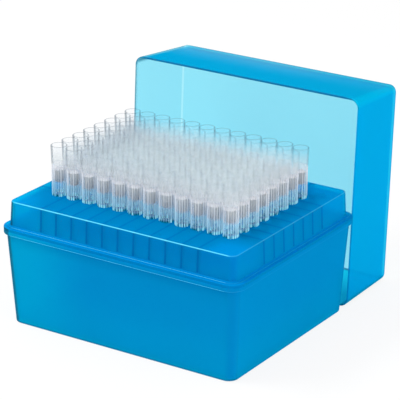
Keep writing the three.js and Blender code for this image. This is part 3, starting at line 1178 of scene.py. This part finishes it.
def make_tips(material, seating):
    """The tips: up the outside of one from its end to its mouth, down its bore, and repeated."""
    bore = COLLAR_RADIUS - TIP_WALL
    mouth_bore = MOUTH_RADIUS - TIP_WALL
    foot_height, foot_bevel = RIB_FOOT
    rings = [
        tip_ring(TIP_END, ORIFICE_RADIUS),
        tip_ring(TIP_END, END_RADIUS),
        tip_ring(TIP_END + KNEE_HEIGHT, KNEE_RADIUS),
        tip_ring(DECK_TOP - NECK_DEPTH, SHAFT_RADIUS - NECK_STEP),
        tip_ring(DECK_TOP + SEAT_GAP, SHAFT_RADIUS),
        tip_ring(DECK_TOP + SEAT_GAP, RIB_RADIUS - foot_bevel, COLLAR_RADIUS),
        tip_ring(DECK_TOP + foot_height, RIB_RADIUS, COLLAR_RADIUS),
        tip_ring(filter_high.z - TIP_WALL, RIB_RADIUS, COLLAR_RADIUS),
        tip_ring(RIBS_TOP, RIB_RADIUS),
        tip_ring(TIP_TOP - MOUTH_EDGE, MOUTH_RADIUS),
        tip_ring(TIP_TOP, MOUTH_RADIUS - MOUTH_EDGE),
        tip_ring(TIP_TOP, mouth_bore + MOUTH_EDGE),
        tip_ring(TIP_TOP - MOUTH_EDGE, mouth_bore),
        tip_ring(RIBS_TOP, RIB_RADIUS - TIP_WALL),
        tip_ring(filter_high.z, bore),
        tip_ring(filter_low.z, bore),
        tip_ring(filter_low.z, bore - FILTER_LEDGE),
        tip_ring(TIP_END + KNEE_HEIGHT, KNEE_BORE),
        tip_ring(TIP_END, ORIFICE_RADIUS),
    ]
    mesh = loft_tube("clear_tips", rings, ("collar", "rib"))
    made = piece("clear_tips", mesh, material, TIP_CREASE)
    run_tree(made, seating, grid_values(material))
    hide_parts(*[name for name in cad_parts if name.startswith("tip_")])
    return made


def loft_tube(name, rings, mark_names):
    """A closed mesh of revolution through rings whose last is the first again. A point's
    numbers after its place are kept on the mesh under the marks' names."""
    count = len(rings[0])
    points = [p for ring in rings[:-1] for p in ring]
    total = len(points)
    faces = []
    for start in range(0, total, count):
        for k in range(count):
            after = (k + 1) % count
            onward = (start + count) % total
            faces.append((start + k, start + after, onward + after, onward + k))
    mesh = bpy.data.meshes.new(name)
    mesh.from_pydata([p[:3] for p in points], [], faces)
    for place, mark_name in enumerate(mark_names, 3):
        mark_points(mesh, mark_name, [p[place] for p in points])
    tidy_mesh(mesh)
    return mesh


def make_filters(material, seating):
    """The filters: short plugs with bevelled ends, one in each tip."""
    low, high = filter_low.z + FILTER_GAP, filter_high.z
    turn = 2 * math.pi / FILTER_SIDES

    def ring(radius, height):
        return [
            (radius * math.cos(k * turn) * MM, radius * math.sin(k * turn) * MM, height * MM)
            for k in range(FILTER_SIDES)
        ]

    rings = [
        ring(FILTER_RADIUS - FILTER_BEVEL, low),
        ring(FILTER_RADIUS, low + FILTER_BEVEL),
        ring(FILTER_RADIUS, high - FILTER_BEVEL),
        ring(FILTER_RADIUS - FILTER_BEVEL, high),
    ]
    made = piece("tip_filters", loft_mesh("tip_filters", rings), material, FILTER_CREASE)
    run_tree(made, seating, grid_values(material))
    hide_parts(*[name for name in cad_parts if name.startswith("filter_")])
    return made


def make_lid(material):
    """The lid is made mouth down and then stood on its long side wall."""

    def wall(height):
        return LID_MOUTH_OUT - height * SKIRT_DRAFT

    inner = LID_DEPTH - LID_PLATE
    inside = LID_RADIUS - LID_WALL
    mouth_inside = LID_MOUTH_RADIUS - LID_WALL
    run = rounded(
        [
            bend(-FLAT_REACH, inner, inside),
            bend(wall(inner) - LID_WALL, inner, inside, LID_INNER_FILLET, polish=0.3),
            bend(wall(0) - LID_WALL, 0, mouth_inside, LID_MOUTH_FILLET, polish=0.2),
            bend(wall(0), 0, LID_MOUTH_RADIUS, LID_MOUTH_FILLET, polish=0.2),
            bend(wall(LID_DEPTH), LID_DEPTH, LID_RADIUS, LID_FILLET),
            bend(-FLAT_REACH, LID_DEPTH, LID_FLAT_RADIUS),
        ]
    )
    on_plate = [float(min(abs(h - inner), abs(h - LID_DEPTH)) < ON_PLATE) for _, h, *_ in run]
    mesh = lofted_shell("lid_cover", run, {"plate": on_plate})
    lean = math.atan(SKIRT_DRAFT)
    half = DECK_WIDTH / 2 + LID_MOUTH_OUT
    turned = Matrix.Rotation(-math.pi / 2 - lean, 4, "X")
    mesh.transform(turned)
    made = piece("lid_cover", mesh, material)
    top_back = max(v.co.y for v in mesh.vertices)
    middle = (lid_low.x + lid_high.x) / 2 * MM
    shift = Vector((middle, lid_high.y * MM - top_back, half * math.cos(lean) * MM))
    mesh.transform(Matrix.Translation(shift))
    settle_normals(made)
    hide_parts("lid")
    return made


# ---------------------------------------------------------------- stage
FLOOR_REACH = 6.0
FLOOR_DROP = 0.0002  # keeps the floor clear of the object's flat feet
FLOOR_WHITE = 0.9
FLOOR_GLOW = 0.85  # share of the floor's own white in what is seen straight
WORLD_LIGHT = 0.85
CLEAR_WALLS = 96  # clear walls that one ray may pass
WHITE = (1, 1, 1)
LAMP_AIM = 0.05  # height that the lamps face, in metres


def make_floor():
    """A plain pale floor that keeps the object's soft shadow."""
    mesh = bpy.data.meshes.new("floor")
    sides = [(-1, -1), (1, -1), (1, 1), (-1, 1)]
    mesh.from_pydata([(x * FLOOR_REACH, y * FLOOR_REACH, 0) for x, y in sides], [], [(0, 1, 2, 3)])
    floor = bpy.data.objects.new("floor", mesh)
    floor.location.z = -FLOOR_DROP
    bpy.context.scene.collection.objects.link(floor)
    material, tree = new_material("pale_floor")
    path = tree.node("ShaderNodeLightPath")
    seen = tree.value(path, "Is Camera Ray") + tree.value(path, "Is Transmission Ray")
    matt = tree.node("ShaderNodeBsdfDiffuse", None, {"Color": (FLOOR_WHITE,) * 3})
    glow = tree.node("ShaderNodeEmission", None, {"Color": WHITE, "Strength": 1.0})
    surface = mixed(tree, seen * FLOOR_GLOW, matt.outputs[0], glow.outputs[0])
    mesh.materials.append(finished(material, tree, surface))


def make_world():
    """An even studio: plain white where it is seen, a little dimmer as a light."""
    world = bpy.data.worlds.new("studio")
    bpy.context.scene.world = world
    world.use_nodes = True
    tree = Tree(world.node_tree)
    path = tree.node("ShaderNodeLightPath")
    seen = tree.value(path, "Is Camera Ray") + tree.value(path, "Is Glossy Ray")
    seen = seen + tree.value(path, "Is Transmission Ray")
    strength = seen * (1.0 - WORLD_LIGHT) + WORLD_LIGHT
    light = tree.node("ShaderNodeBackground", None, {"Color": WHITE, "Strength": strength})
    tree.node("ShaderNodeOutputWorld", None, {"Surface": light.outputs[0]})


def soft_lamp(name, towards, distance, width, height, power):
    """A rectangular lamp that stands in a direction from the object and faces it. Metres."""
    data = bpy.data.lights.new(name, "AREA")
    data.shape = "RECTANGLE"
    data.size = width
    data.size_y = height
    data.energy = power
    lamp = bpy.data.objects.new(name, data)
    direction = Vector(towards).normalized()
    lamp.location = direction * distance + Vector((0, 0, LAMP_AIM))
    lamp.rotation_mode = "QUATERNION"
    lamp.rotation_quaternion = direction.to_track_quat("Z", "Y")
    bpy.context.scene.collection.objects.link(lamp)


# ---------------------------------------------------------------- the scene
make_camera()
make_floor()
make_world()
soft_lamp("key", (-0.5, -0.35, 0.79), distance=1.2, width=0.6, height=0.08, power=7.0)
soft_lamp("fill", (1.0, -0.3, 0.45), distance=1.4, width=0.9, height=0.9, power=5.0)

bpy.context.scene.cycles.transparent_max_bounces = CLEAR_WALLS

deep_blue = blue_plastic(
    "deep_blue_plastic",
    body=(0.0, 0.318, 0.695),
    solid=0.58,
    roughness=0.35,
    haze=18.0,
    painted_light_side=0.0,
    painted_light_foot=(4, 32),
)
tray_blue = blue_plastic(
    "tray_blue_plastic",
    body=(0.0, 0.345, 0.83),
    solid=0.36,
    roughness=0.3,
    haze=22.0,
    painted_light_side=0.5,
    painted_light_foot=(FLANGE_TOP, FLANGE_TOP + 9),
    ribs=True,
)
seating = one_in_each_seat()

root_pieces = [
    make_base(deep_blue),
    make_tray(tray_blue),
    make_ribs(tray_blue),
    make_tips(tip_plastic(), seating),
    make_filters(porous_filter(), seating),
    make_lid(lid_plastic()),
]
for shown in root_pieces:
    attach(shown, "root")

bpy.context.scene.view_settings.view_transform = "Standard"
